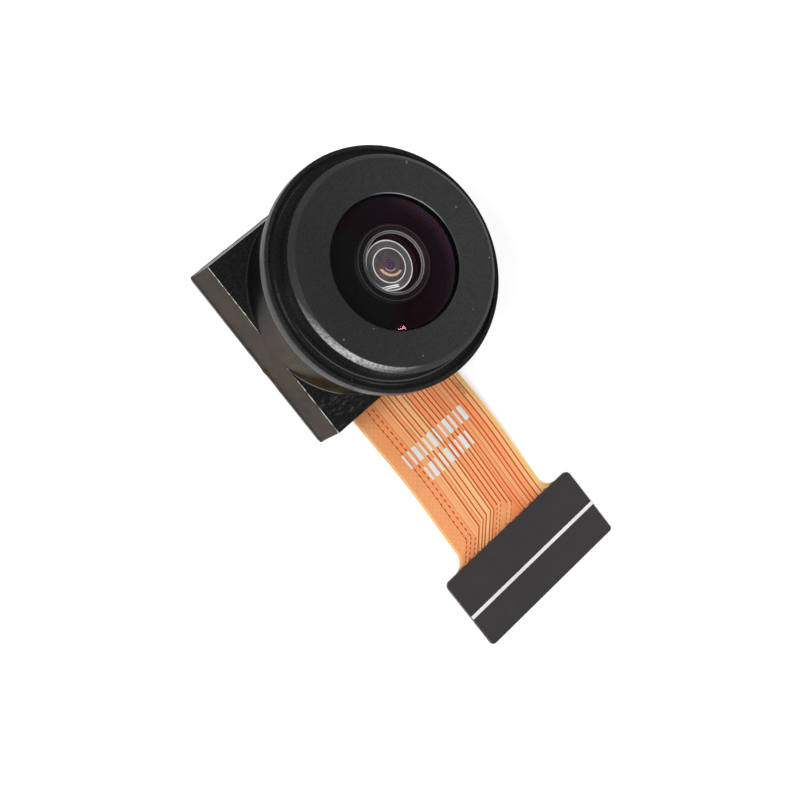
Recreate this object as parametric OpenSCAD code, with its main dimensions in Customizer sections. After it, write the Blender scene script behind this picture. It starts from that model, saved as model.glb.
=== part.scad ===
// Camera module: a wide-angle lens in a square holder on a flexible printed circuit.
// The lens axis is Z, the underside of the head is Z = 0 and the circuit runs along -Y.

/* [Holder] */
// Width of the square holder at its foot
holder_w = 13.8; // [13.2:0.1:16]
// Height of the square base of the holder
base_h = 3.1; // [2.8:0.1:4]
// Diameter of the round boss that stands on the base
boss_d = 13.88; // [13.4:0.02:14.2]
// Height of the boss above the base
boss_h = 4.85; // [4:0.05:6]
// How far each side of the base leans in at its top
side_draft = 0.08; // [0:0.02:0.2]
// Radius of the upright corners of the base
corner_r = 0.3; // [0.1:0.05:0.8]
// Bevel along the top edges of the base and around the foot of the boss
edge_bevel = 0.1; // [0.05:0.05:0.3]
// Width of the cavity over the image sensor
cavity_w = 10.4; // [10:0.1:11]
// Height of the cavity over the image sensor
cavity_h = 1.82; // [1.6:0.02:2.2]
// Thickness of the web between the cavity and the lens bore
web_t = 0.7; // [0.5:0.05:0.9]
// Side of the square light window in the web
window_w = 5.4; // [4.8:0.1:6]
// Thickness of the adhesive under the holder
bond_t = 0.05; // [0.03:0.01:0.1]

/* [Lens barrel] */
// Diameter of the lens thread, drawn plain
thread_d = 12; // [11.6:0.1:12.2]
// Length of the threaded shank below the flange
shank_l = 5.5; // [5.2:0.05:5.9]
// Gap left between the boss and the flange after focusing
focus_gap = 0.47; // [0.3:0.01:0.7]
// Diameter of the flange
flange_d = 16; // [15:0.1:18]
// Thickness of the flange
flange_t = 0.9; // [0.7:0.05:1.4]
// Width of the groove in the top of the flange
groove_w = 0.2; // [0.1:0.05:0.3]
// Depth of the groove in the top of the flange
groove_depth = 0.12; // [0.05:0.01:0.2]
// Width of the raised lip outside the groove
lip_w = 0.25; // [0.2:0.05:0.4]

/* [Front ring] */
// Diameter of the front ring
ring_d = 14; // [13.8:0.1:14.4]
// Height of the front ring above the flange
ring_h = 1.86; // [1.8:0.02:2.4]
// Bevel around the face of the front ring
ring_bevel = 0.35; // [0.1:0.05:0.4]
// How much the face rises from the bevel to the opening
ring_cone = 0.08; // [0:0.02:0.2]
// Diameter of the opening over the glass
opening_d = 8.7; // [8:0.1:9.2]
// Thickness of the lip that holds the glass
ring_lip_t = 0.56; // [0.4:0.02:0.8]

/* [Glass] */
// Diameter of the front element
front_glass_d = 11.2; // [10.8:0.1:11.3]
// Outer radius of curvature of the front element
front_curve_r = 9.5; // [8:0.1:14]
// Thickness of the front element at its centre
front_glass_t = 0.9; // [0.7:0.05:1.1]
// Thickness of the front element at its edge
front_edge_t = 0.55; // [0.5:0.01:0.7]
// Radius of the hollow in the back of the front element
front_hollow_r = 3.4; // [3:0.05:3.8]
// Diameter of the hole in the baffle behind the front element
baffle_hole_d = 2.38; // [2:0.02:3]
// Diameter of the second and third elements
middle_glass_d = 7.2; // [7:0.1:7.4]
// Diameter of the cemented rear pair
rear_glass_d = 6.2; // [6:0.1:6.4]
// Diameter of the hole in the aperture stop
stop_hole_d = 1.8; // [1.2:0.1:2.4]

/* [Flexible circuit] */
// Width of the neck
neck_w = 8.3; // [7.8:0.1:9]
// Length of the neck from the head to the tail
neck_l = 12.8; // [11:0.2:20]
// Rise of the neck above a straight line between its ends
neck_arch = 0.4; // [0:0.05:0.8]
// Radius of the concave corners between the neck and the tail
shoulder_r = 1; // [0.4:0.1:1.2]
// Length of the tail
tail_l = 5.3; // [4.8:0.1:7]
// Pitch of the 24 contacts, which sets the width of the tail
contact_pitch = 0.5; // [0.48:0.01:0.55]
// Distance of the insertion line from the end of the tail
line_back = 2.37; // [1.5:0.01:3]
// Width of the insertion line
line_w = 0.25; // [0.15:0.05:0.4]
// Width of each gap etched between two traces
gap_w = 0.09; // [0.06:0.01:0.12]

/* [Layers] */
// Thickness of the plate behind the head
back_plate_t = 0.2; // [0.15:0.01:0.3]
// Thickness of the adhesive that holds each stiffener
tape_t = 0.03; // [0.02:0.01:0.05]
// Thickness of the base film
film_t = 0.05; // [0.04:0.01:0.08]
// Thickness of the copper on each side
copper_t = 0.02; // [0.015:0.005:0.03]
// Thickness of the coverlay above the base film
coverlay_t = 0.05; // [0.04:0.01:0.08]
// Thickness of the plated contacts under the tail
contact_t = 0.03; // [0.02:0.01:0.05]
// Thickness of the stiffener on the tail
tail_plate_t = 0.14; // [0.1:0.01:0.2]
// Thickness of the printed ink
ink_t = 0.02; // [0.01:0.005:0.03]

/* [Hidden] */
$fn = 96;

contact_count = 24;
cut = 0.1;               // how far a cutting shape runs past what it cuts
tall = 40;               // more than the height and width of the whole part

// Levels of the layers in the head and in the tail
film_head_z = back_plate_t + tape_t;
film_tail_z = contact_t;
pad_z = film_head_z + film_t + copper_t;
coverlay_head_z = film_head_z + film_t + coverlay_t;
coverlay_tail_z = film_tail_z + film_t + coverlay_t;
tail_plate_z = coverlay_tail_z + tape_t;
tail_top_z = tail_plate_z + tail_plate_t;

// Levels of the holder and the lens
holder_z = coverlay_head_z + bond_t;
base_top_z = holder_z + base_h;
boss_top_z = base_top_z + boss_h;
web_z = holder_z + cavity_h;
bore_floor_z = web_z + web_t;
flange_z = boss_top_z + focus_gap;
flange_top_z = flange_z + flange_t;
shank_z = flange_z - shank_l;
front_z = flange_top_z + ring_h;
glass_flat_z = front_z - ring_lip_t;

// Plan of the circuit
head_y = -holder_w / 2;
shoulder_y = head_y - neck_l;
tail_end_y = shoulder_y - tail_l;
tail_w = (contact_count + 1) * contact_pitch;
shoulder_corner_r = 0.4;
end_corner_r = 0.25;
head_window_x = 10;      // opening of the coverlay over the sensor, across the circuit
head_window_y = 8.6;     // and along it

// Radii of the lens
bore_r = thread_d / 2;
thread_fit = 0.03;       // radial clearance of the shank in the bore
shank_r = bore_r - thread_fit;
glue_w = 0.6;            // how far the thread glue spreads out over the boss
barrel_bevel = 0.1;
ring_edge = 0.08;        // bevel at the opening of the front ring
ring_fit = 0.05;         // radial clearance of the front ring on the barrel's neck
neck_gap = 0.1;          // gap between the barrel's neck and the front ring's lip
glass_fit = 0.01;        // radial clearance around each element
neck_wall = 0.3;         // wall of the barrel outside the seal
seal_d = 0.4;            // section of the seal around the front element
front_glass_r = front_glass_d / 2;
middle_glass_r = middle_glass_d / 2;
rear_glass_r = rear_glass_d / 2;
seal_groove_r = front_glass_r + seal_d;
barrel_neck_r = seal_groove_r + neck_wall;
ring_bore_r = barrel_neck_r + ring_fit;

// Stack of the elements, from the seat of the front element down
front_seat_z = glass_flat_z - front_edge_t;
baffle_t = 0.75;
second_edge_t = 1.0;
middle_spacer_t = 0.4;
third_edge_t = 1.1;
stop_spacer_t = 0.3;
stop_t = 0.1;
second_top_z = front_seat_z - baffle_t;
second_low_z = second_top_z - second_edge_t;
third_top_z = second_low_z - middle_spacer_t;
third_low_z = third_top_z - third_edge_t;
stop_top_z = third_low_z - stop_spacer_t;
stop_z = stop_top_z - stop_t;
rear_seat_t = 0.6;       // floor of the barrel under the rear pair
rear_seat_w = 0.5;       // and how far it reaches in under them
rear_seat_z = shank_z + rear_seat_t;
rear_hole_r = rear_glass_r - rear_seat_w;
middle_flat_w = 1.2;     // ring left flat around the second and third elements
second_curve_r = 6;
second_hollow_r = 2.4;
second_centre_t = 0.7;
third_curve_r = 5;
baffle_well_r = 2.0;     // round well in the baffle's top
baffle_well_depth = 0.2;
baffle_cone_w = 0.52;    // width and depth of the cone between the well and the hole
baffle_cone_depth = 0.15;
baffle_gap = 0.03;       // clearance between the baffle and the dome under it
pair_curve_r = 5.5;      // cemented surface inside the rear pair
pair_edge_t = 0.8;       // edge of the front half of the rear pair

// Filter and sensor
filter_t = 0.3;
filter_w = 6.6;
filter_glue_w = 0.2;
ball_pitch = 0.75;
ball_rows = 7;
ball_r = 0.16;
ball_h = 0.15;
sensor_w = 6;
sensor_t = 0.4;
dam_w = 0.5;
dam_t = 0.04;
cover_glass_w = 5.8;
cover_glass_t = 0.4;
sensor_z = pad_z + ball_h;
dam_z = sensor_z + sensor_t;
cover_glass_z = dam_z + dam_t;
pad_rim = 0.02;          // how far a pad shows around its solder ball
capacitor_x = 4.2;
capacitor_pitch = 2;     // four stand in each row along the sensor's sides
capacitor_w = 0.5;
capacitor_l = 1.0;
capacitor_h = 0.5;
capacitor_pad_w = 0.56;
capacitor_pad_l = 0.3;
capacitor_end = 0.22;    // length of each metal end
capacitor_skin = 0.02;   // how far the metal ends stand proud

// Contacts and traces
contact_w = 0.6 * contact_pitch;
contact_l = 3.6;
contact_inset = 0.1;     // distance of each contact from the end of the tail
via_r = 0.09;
via_y = tail_end_y + contact_l - 0.15;
copper_margin = 0.15;
fan_l = 0.3;             // straight run of each gap on both sides of the vias
copper_top_y = -4.5;
copper_end_y = via_y - fan_l;
pattern_w = 8.3;         // neck width that the gap positions below are drawn for
// Gaps that bend to the left on their way to the tail, and how far before it each bends
left_gaps = [-2.95, -2.55, -2.25, -1.8, -1.6, -1.3, -1.05, -0.65, -0.2, 0.05, 0.45, 0.8];
left_bends = [1.4, 1.45, 1.5, 1.6, 1.6, 1.6, 1.6, 1.6, 1.6, 1.45, 1.3, 1.15];
// Gaps that run straight into the tail
right_gaps = [1.15, 1.45, 1.7, 1.9, 2.25, 2.6, 2.9, 3.35, 3.75];
first_right_gap = 15;    // contacts to the left of the first straight gap

// Bar marks
mark_x = -0.3;
mark_pitch = 0.5;
mark_w = 0.16;
wide_mark_w = 0.36;
mark_l = 1.1;
mark_row_back = 4.8;     // distance from the head to the middle of the first row
mark_row_pitch = 1.55;
first_row_marks = 12;
second_row_marks = 9;

// Side profile of the neck
stations = 16;
head_back_y = holder_w / 2;

function ease(s) = (1 - cos(180 * s)) / 2;
function hump(s) = (1 - cos(360 * s)) / 2;
function film_z(s) = film_head_z + (film_tail_z - film_head_z) * ease(s) + neck_arch * hump(s);
function gap_x(v) = v * neck_w / pattern_w;
function contact_x(i) = (i - (contact_count - 1) / 2) * contact_pitch;
function split_x(i) = (i - contact_count / 2) * contact_pitch;

// Height of the surface of radius r above its rim of radius a
function sag(r, a) = r - sqrt(r * r - a * a);

second_crown_z = second_top_z + sag(second_curve_r, middle_glass_r - middle_flat_w);

// One gap: straight down the neck, then at 45 degrees for a run, then to its place
// between two contacts
function gap_outline(x, end_x, bend_y, run) =
  let (
    h = gap_w / 2,
    slant = run > 0 ? h * sqrt(2) : h,
    mitre = run > 0 ? h * tan(22.5) : 0,
    left = [
      [x - h, copper_top_y + cut], [x - h, bend_y + mitre], [x - run - slant, bend_y - run],
      [end_x - h, via_y + fan_l], [end_x - h, copper_end_y - cut]
    ],
    right = [
      [end_x + h, copper_end_y - cut], [end_x + h, via_y + fan_l], [x - run + slant, bend_y - run],
      [x + h, bend_y - mitre], [x + h, copper_top_y + cut]
    ]
  )
  concat(left, right);

// Rectangle with round corners, centred
module round_rect(w, l, r) {
  square([w - 2 * r, l], center = true);
  square([w, l - 2 * r], center = true);
  for (x = [-1, 1], y = [-1, 1])
    translate([x * (w / 2 - r), y * (l / 2 - r)]) circle(r);
}

// Square frame, centred
module square_frame(outer, inner) {
  difference() {
    square(outer, center = true);
    square(inner, center = true);
  }
}

module plate(z, t) {
  translate([0, 0, z]) linear_extrude(t) children();
}

// Ring or disc turned about the lens axis
module disc(z, t, outer_r, inner_r = 0) {
  plate(z, t)
    difference() {
      circle(outer_r);
      if (inner_r > 0) circle(inner_r);
    }
}

module head_plan(m = 0) {
  round_rect(holder_w - 2 * m, holder_w - 2 * m, corner_r);
}

// Tail with its own corners at the shoulder and at the end, drawn m smaller all round
module tail_plan(m = 0) {
  w = tail_w - 2 * m;
  l = tail_l - 2 * m;
  translate([0, (shoulder_y + tail_end_y) / 2]) {
    intersection() {
      round_rect(w, l, shoulder_corner_r);
      translate([-tall / 2, 0]) square([tall, tall]);
    }
    intersection() {
      round_rect(w, l, end_corner_r);
      translate([-tall / 2, -tall]) square([tall, tall]);
    }
  }
}

// Neck with the concave corners that widen it into the tail
module neck_plan(m = 0) {
  half = neck_w / 2;
  translate([m - half, shoulder_y - 2 * m])
    square([neck_w - 2 * m, copper_top_y - shoulder_y + 2 * m]);
  for (side = [-1, 1]) scale([side, 1])
    difference() {
      translate([half - m - cut, shoulder_y - m - cut])
        square([shoulder_r + m + cut, shoulder_r + m + cut]);
      translate([half + shoulder_r, shoulder_y + shoulder_r]) circle(shoulder_r + m);
    }
}

module flex_plan() {
  head_plan();
  neck_plan();
  tail_plan();
}

module copper_plan() {
  difference() {
    intersection() {
      union() {
        neck_plan(copper_margin);
        tail_plan(copper_margin);
      }
      translate([-tall / 2, copper_end_y]) square([tall, copper_top_y - copper_end_y]);
    }
    for (i = [0:len(left_gaps) - 1])
      polygon(gap_outline(gap_x(left_gaps[i]), split_x(i + 1), shoulder_y + left_bends[i],
        left_bends[i]));
    for (i = [0:len(right_gaps) - 1])
      polygon(gap_outline(gap_x(right_gaps[i]), split_x(first_right_gap + i), shoulder_y, 0));
  }
}

// Layer that follows the neck's arch, from above up to above + t over the film's underside
module ribbon(above, t) {
  low = concat(
    [[head_back_y + cut, film_head_z]],
    [for (i = [0:stations]) [head_y - neck_l * i / stations, film_z(i / stations)]],
    [[tail_end_y - cut, film_tail_z]]
  );
  last = len(low) - 1;
  outline = concat(
    [for (p = low) p + [0, above]],
    [for (i = [0:last]) low[last - i] + [0, above + t]]
  );
  intersection() {
    rotate([90, 0, 90]) linear_extrude(tall, center = true) polygon(outline);
    plate(-1, tall) children();
  }
}

module at_capacitors() {
  for (x = [-capacitor_x, capacitor_x], row = [-1.5:1.5])
    translate([x, row * capacitor_pitch, 0]) children();
}

module at_balls() {
  half = (ball_rows - 1) / 2;
  for (i = [-half:half], j = [-half:half])
    translate([i * ball_pitch, j * ball_pitch, 0]) children();
}

// Round lens blank: flat ring at both faces, with its curves cut or added by the caller
module blank(z, t, r) {
  translate([0, 0, z]) cylinder(r = r, h = t);
}

// Spherical cap standing on level z with rim radius a
module cap(z, r, a) {
  intersection() {
    translate([0, 0, z + sag(r, a) - r]) sphere(r);
    translate([0, 0, z - cut]) cylinder(r = a, h = r);
  }
}

module back_plate() {
  color("dimgray") plate(0, back_plate_t) head_plan();
}

module stiffener_tape() {
  color("wheat") {
    plate(back_plate_t, tape_t) head_plan();
    plate(coverlay_tail_z, tape_t) tail_plan();
  }
}

module flex_base_film() {
  color("peru")
    difference() {
      ribbon(0, film_t) flex_plan();
      for (i = [0:contact_count - 1])
        translate([contact_x(i), via_y, -1]) cylinder(r = via_r, h = 2);
    }
}

module copper_traces() {
  color("sandybrown") {
    ribbon(film_t, copper_t) copper_plan();
    at_balls() blank(pad_z - copper_t, copper_t, ball_r + pad_rim);
    at_capacitors()
      for (end = [-1, 1])
        translate([0, end * (capacitor_l - capacitor_end) / 2, 0])
          plate(pad_z - copper_t, copper_t)
            square([capacitor_pad_w, capacitor_pad_l], center = true);
  }
}

// Coverlay: its adhesive fills between the traces, and its film lies over them
module coverlay() {
  color("orange") {
    ribbon(film_t, copper_t)
      difference() {
        flex_plan();
        copper_plan();
        square([head_window_x, head_window_y], center = true);
      }
    ribbon(film_t + copper_t, coverlay_t - copper_t)
      difference() {
        flex_plan();
        square([head_window_x, head_window_y], center = true);
      }
  }
}

// Contacts on the underside of the tail, each with the plated via that joins it to a trace
module contact_fingers() {
  color("gold")
    for (i = [0:contact_count - 1]) translate([contact_x(i), 0, 0]) {
      translate([-contact_w / 2, tail_end_y + contact_inset, 0])
        cube([contact_w, contact_l, contact_t]);
      translate([0, via_y, 0]) cylinder(r = via_r, h = contact_t + film_t);
    }
}

module tail_stiffener() {
  color([0.25, 0.235, 0.235]) plate(tail_plate_z, tail_plate_t) tail_plan();
}

module insertion_line() {
  color("white")
    translate([-tail_w / 2, tail_end_y + line_back - line_w / 2, tail_top_z])
      cube([tail_w, line_w, ink_t]);
}

// Generic bar marks printed on the neck, in two rows
module ink_marks() {
  color("white")
    ribbon(film_t + coverlay_t, ink_t) {
      mark_row(mark_row_back, first_row_marks, 1);
      mark_row(mark_row_back + mark_row_pitch, second_row_marks, 2);
    }
}

// Row of upright bars, every third one wide, at a distance from the head
module mark_row(from_head, count, first) {
  for (i = [0:count - 1])
    translate([mark_x + mark_pitch * (i - (count - 1) / 2), head_y - from_head])
      square([(i + first) % 3 == 0 ? wide_mark_w : mark_w, mark_l], center = true);
}

module solder_balls() {
  color("silver") at_balls() blank(pad_z, ball_h, ball_r);
}

module image_sensor() {
  color("darkslategray") plate(sensor_z, sensor_t) square(sensor_w, center = true);
}

module sensor_glass_dam() {
  color("black") plate(dam_z, dam_t) square_frame(cover_glass_w, cover_glass_w - 2 * dam_w);
}

module sensor_cover_glass() {
  color("lightcyan") plate(cover_glass_z, cover_glass_t) square(cover_glass_w, center = true);
}

// Chip capacitors: a ceramic body with a metal end at each side
module ceramic_capacitors() {
  outer_w = capacitor_w + 2 * capacitor_skin;
  outer_h = capacitor_h + 2 * capacitor_skin;
  color("tan")
    at_capacitors() translate([0, -capacitor_l / 2, pad_z]) {
      translate([-capacitor_w / 2, 0, capacitor_skin])
        cube([capacitor_w, capacitor_l, capacitor_h]);
      for (y = [0, capacitor_l - capacitor_end])
        translate([-outer_w / 2, y, 0]) cube([outer_w, capacitor_end, outer_h]);
    }
}

module holder_adhesive() {
  color("gainsboro")
    plate(coverlay_head_z, bond_t)
      difference() {
        head_plan(side_draft);
        square(cavity_w, center = true);
      }
}

// Square base with leaning sides, the boss cut flat where it meets them, and the bores
module lens_holder() {
  top_w = holder_w / 2 - side_draft;
  side = [
    [-holder_w / 2, 0], [holder_w / 2, 0], [top_w, base_h - edge_bevel],
    [top_w - edge_bevel, base_h], [edge_bevel - top_w, base_h], [-top_w, base_h - edge_bevel]
  ];
  boss_r = boss_d / 2;
  boss_side = [
    [0, 0], [boss_r + edge_bevel, 0], [boss_r + edge_bevel, base_h], [boss_r, base_h + edge_bevel],
    [boss_r, base_h + boss_h - edge_bevel], [boss_r - edge_bevel, base_h + boss_h],
    [0, base_h + boss_h]
  ];
  color([0.13, 0.13, 0.13])
    translate([0, 0, holder_z])
      difference() {
        union() {
          intersection() {
            rotate([90, 0, 0]) linear_extrude(tall, center = true) polygon(side);
            rotate([90, 0, 90]) linear_extrude(tall, center = true) polygon(side);
            linear_extrude(base_h) head_plan();
          }
          intersection() {
            rotate_extrude() polygon(boss_side);
            translate([-top_w, -top_w, base_h - edge_bevel])
              cube([2 * top_w, 2 * top_w, boss_h + edge_bevel]);
          }
        }
        translate([0, 0, -cut]) linear_extrude(cavity_h + cut) square(cavity_w, center = true);
        linear_extrude(cavity_h + filter_t)
          square(filter_w + 2 * filter_glue_w, center = true);
        linear_extrude(base_h) square(window_w, center = true);
        translate([0, 0, cavity_h + web_t]) cylinder(r = bore_r, h = tall);
      }
}

module ir_cut_filter() {
  color("lightskyblue") plate(web_z, filter_t) square(filter_w, center = true);
}

module filter_adhesive() {
  color("gray") plate(web_z, filter_t) square_frame(filter_w + 2 * filter_glue_w, filter_w);
}

// Glue run into the focus gap around the shank
module thread_glue() {
  color("darkgray") disc(boss_top_z, focus_gap, bore_r + glue_w, shank_r);
}

// Barrel turned in one piece: shank, flange with its groove and lip, and neck for the ring
module lens_barrel() {
  r = flange_d / 2;
  bevel = barrel_bevel;
  outside = [
    [0, shank_z], [shank_r - bevel, shank_z], [shank_r, shank_z + bevel], [shank_r, flange_z],
    [r - bevel, flange_z], [r, flange_z + bevel], [r, flange_top_z - bevel],
    [r - bevel, flange_top_z], [r - lip_w, flange_top_z],
    [r - lip_w, flange_top_z - groove_depth], [r - lip_w - groove_w, flange_top_z - groove_depth],
    [r - lip_w - groove_w, flange_top_z], [barrel_neck_r, flange_top_z],
    [barrel_neck_r, glass_flat_z - neck_gap], [0, glass_flat_z - neck_gap]
  ];
  color([0.12, 0.12, 0.12])
    difference() {
      rotate_extrude() polygon(outside);
      blank(shank_z - cut, tall, rear_hole_r);
      blank(rear_seat_z, tall, rear_glass_r + glass_fit);
      blank(stop_z, tall, middle_glass_r + glass_fit);
      blank(front_seat_z, tall, front_glass_r + glass_fit);
      blank(glass_flat_z - seal_d, tall, seal_groove_r);
    }
}

module rear_pair_back() {
  color("lightcyan")
    difference() {
      blank(rear_seat_z, stop_z - pair_edge_t - rear_seat_z, rear_glass_r);
      translate([0, 0, stop_z - pair_edge_t - sag(pair_curve_r, rear_glass_r) + pair_curve_r])
        sphere(pair_curve_r);
    }
}

module rear_pair_front() {
  color("lightcyan")
    intersection() {
      blank(rear_seat_z, stop_z - rear_seat_z, rear_glass_r);
      translate([0, 0, stop_z - pair_edge_t - sag(pair_curve_r, rear_glass_r) + pair_curve_r])
        sphere(pair_curve_r);
    }
}

module aperture_stop() {
  color("black") disc(stop_z, stop_t, middle_glass_r, stop_hole_d / 2);
}

module stop_spacer() {
  color("black")
    disc(stop_top_z, stop_spacer_t, middle_glass_r, middle_glass_r - middle_flat_w / 2);
}

// Flat below and domed above
module third_element() {
  color("lightcyan") {
    blank(third_low_z, third_edge_t, middle_glass_r);
    cap(third_top_z, third_curve_r, middle_glass_r - middle_flat_w);
  }
}

module middle_spacer() {
  color("black")
    disc(third_top_z, middle_spacer_t, middle_glass_r, middle_glass_r - middle_flat_w);
}

// Domed above and hollow below
module second_element() {
  color("lightcyan")
    difference() {
      union() {
        blank(second_low_z, second_edge_t, middle_glass_r);
        cap(second_top_z, second_curve_r, middle_glass_r - middle_flat_w);
      }
      translate([0, 0, second_crown_z - second_centre_t - second_hollow_r])
        sphere(second_hollow_r);
    }
}

// Ring between the first two elements: a well and a cone lead to its hole, and its
// underside follows the dome of the second element
module front_baffle() {
  hole_r = baffle_hole_d / 2;
  cone_z = front_seat_z - baffle_well_depth;
  section = [
    [hole_r, second_top_z], [middle_glass_r, second_top_z], [middle_glass_r, front_seat_z],
    [baffle_well_r, front_seat_z], [baffle_well_r, cone_z], [hole_r + baffle_cone_w, cone_z],
    [hole_r, cone_z - baffle_cone_depth]
  ];
  color("black")
    difference() {
      rotate_extrude() polygon(section);
      translate([0, 0, second_crown_z - second_curve_r]) sphere(second_curve_r + baffle_gap);
    }
}

// Domed above and deeply hollow below
module front_element() {
  rim_r = opening_d / 2 - glass_fit;
  crown_z = glass_flat_z + sag(front_curve_r, rim_r);
  color("darkslategray")
    difference() {
      union() {
        blank(front_seat_z, glass_flat_z - front_seat_z, front_glass_r);
        cap(glass_flat_z, front_curve_r, rim_r);
      }
      translate([0, 0, crown_z - front_glass_t - front_hollow_r]) sphere(front_hollow_r);
    }
}

module front_seal() {
  color("black")
    rotate_extrude() translate([front_glass_r + seal_d / 2, glass_flat_z - seal_d / 2])
      circle(seal_d / 2);
}

// Ring screwed over the barrel's neck: its lip holds the front element
module front_ring() {
  r = ring_d / 2;
  opening_r = opening_d / 2;
  section = [
    [ring_bore_r, flange_top_z], [r, flange_top_z], [r, front_z - ring_cone - ring_bevel],
    [r - ring_bevel, front_z - ring_cone], [opening_r + ring_edge, front_z],
    [opening_r, front_z - ring_edge], [opening_r, glass_flat_z], [ring_bore_r, glass_flat_z]
  ];
  color([0.2, 0.2, 0.2]) rotate_extrude() polygon(section);
}

back_plate();
stiffener_tape();
flex_base_film();
copper_traces();
coverlay();
contact_fingers();
tail_stiffener();
insertion_line();
ink_marks();
solder_balls();
image_sensor();
sensor_glass_dam();
sensor_cover_glass();
ceramic_capacitors();
holder_adhesive();
lens_holder();
ir_cut_filter();
filter_adhesive();
thread_glue();
lens_barrel();
rear_pair_back();
rear_pair_front();
aperture_stop();
stop_spacer();
third_element();
middle_spacer();
second_element();
front_baffle();
front_element();
front_seal();
front_ring();
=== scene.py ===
"""Looks of the camera module: its finishes, its turned and moulded surfaces, its lens and its circuit.

Units are metres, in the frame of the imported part: the lens axis is Z, the underside of the head is
Z = 0 and the circuit runs along -Y.
"""

import math

import bpy
import numpy as np
from mathutils import Matrix, Vector

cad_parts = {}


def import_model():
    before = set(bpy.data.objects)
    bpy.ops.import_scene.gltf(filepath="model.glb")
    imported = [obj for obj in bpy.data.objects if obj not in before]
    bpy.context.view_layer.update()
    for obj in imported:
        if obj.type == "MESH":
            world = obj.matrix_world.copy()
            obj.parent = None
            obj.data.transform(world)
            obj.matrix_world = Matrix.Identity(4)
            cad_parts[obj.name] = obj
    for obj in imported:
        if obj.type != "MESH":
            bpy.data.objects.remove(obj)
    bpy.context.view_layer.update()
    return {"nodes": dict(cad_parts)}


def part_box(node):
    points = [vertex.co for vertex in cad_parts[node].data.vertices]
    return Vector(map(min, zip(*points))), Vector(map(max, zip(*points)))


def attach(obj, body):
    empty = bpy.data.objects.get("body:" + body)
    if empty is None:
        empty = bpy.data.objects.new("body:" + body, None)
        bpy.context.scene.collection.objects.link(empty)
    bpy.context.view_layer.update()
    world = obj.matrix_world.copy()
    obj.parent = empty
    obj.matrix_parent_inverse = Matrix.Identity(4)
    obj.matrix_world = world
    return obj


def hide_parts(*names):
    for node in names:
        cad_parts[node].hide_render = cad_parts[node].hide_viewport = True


MM = 0.001
TINY = 1e-6
TURN = 2 * math.pi
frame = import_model()

# ------------ sizes taken from the frame


def low(node, axis):
    """Lowest coordinate of a node along an axis, in millimetres."""
    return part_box(node)[0][axis] / MM


def high(node, axis):
    """Highest coordinate of a node along an axis, in millimetres."""
    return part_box(node)[1][axis] / MM


# Lens: heights and radii of its parts
FRONT_Z = high("front_ring", 2)
FLANGE_TOP_Z = low("front_ring", 2)
FLANGE_Z = high("thread_glue", 2)
BOSS_TOP_Z = low("thread_glue", 2)
SHANK_Z = low("lens_barrel", 2)
FLANGE_R = high("lens_barrel", 0)
RING_R = high("front_ring", 0)
SHANK_R = 5.97
GLASS_R = high("front_element", 0)
GLASS_SEAT_Z = low("front_element", 2)
GLASS_FLAT_Z = high("front_seal", 2)
CROWN_Z = high("front_element", 2)
MIDDLE_R = high("second_element", 0)
BAFFLE_Z = low("front_baffle", 2)
HOLE_R = 1.19
CONE_R = HOLE_R + 0.52
# Front ring: its bevel, the rise of its face, and its opening
RING_BEVEL = 0.35
RING_CONE = 0.08
BEVEL_INNER_R = RING_R - RING_BEVEL
OPENING_R = 4.35
# Radius of the painted reflection of the bevel on the flange
BEVEL_REFLECTION_R = 7.2
# Painted reflections in the lens: way across the two painted glints on the baffle, way and middle of the
# crown's straw-coloured painted arc, its radius
GLINT_WAY = math.radians(242)
GLINT_ARC_WAY = (-0.62, -0.78)
GLINT_ARC_MIDDLE = (0.18, 0.12)
GLINT_ARC_R = 0.92
# Holder: base, boss, bore, and the web over the sensor
HOLDER_Z = low("lens_holder", 2)
HOLDER_HALF = high("lens_holder", 0)
BASE_TOP_Z = HOLDER_Z + 3.1
BASE_CORNER_R = 0.12
BOSS_R = 6.94
CAVITY_HALF = 5.2
CAVITY_CORNER_R = 0.25
WINDOW_HALF = 2.7
WEB_LOW_Z = HOLDER_Z + 1.82
WEB_HIGH_Z = WEB_LOW_Z + 0.7
BORE_R = 6.0
DRAFT = 0.08
# Ways that the boss's painted brown sheen and the painted highlight at its root face
SHEEN_WAY = (-0.956, -0.292)
ROOT_GLINT_WAY = (-0.866, -0.5)
# Circuit: head, neck and tail
HEAD_HALF = high("back_plate", 0)
HEAD_CORNER_R = 0.3
HEAD_EDGE_Y = low("back_plate", 1)
NECK_HALF = 4.15
NECK_ARCH = 0.4
HEAD_FILM_Z = high("stiffener_tape", 2)
TAIL_END_Y = low("tail_stiffener", 1)
SHOULDER_Y = high("tail_stiffener", 1)
TAIL_HALF = high("tail_stiffener", 0)
FILM_TAIL_Z = low("flex_base_film", 2)

# ------------ mesh building


def grid_faces(rows, columns, close_rows, close_columns):
    """Quads of a grid of rows x columns points, numbered row by row, closed round where asked."""
    i = np.arange(rows if close_rows else rows - 1)
    j = np.arange(columns if close_columns else columns - 1)
    a, b = np.meshgrid(i, j, indexing="ij")
    c, d = (a + 1) % rows, (b + 1) % columns
    quads = np.stack([a * columns + b, a * columns + d, c * columns + d, c * columns + b], axis=-1)
    return quads.reshape(-1, 4)


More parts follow.
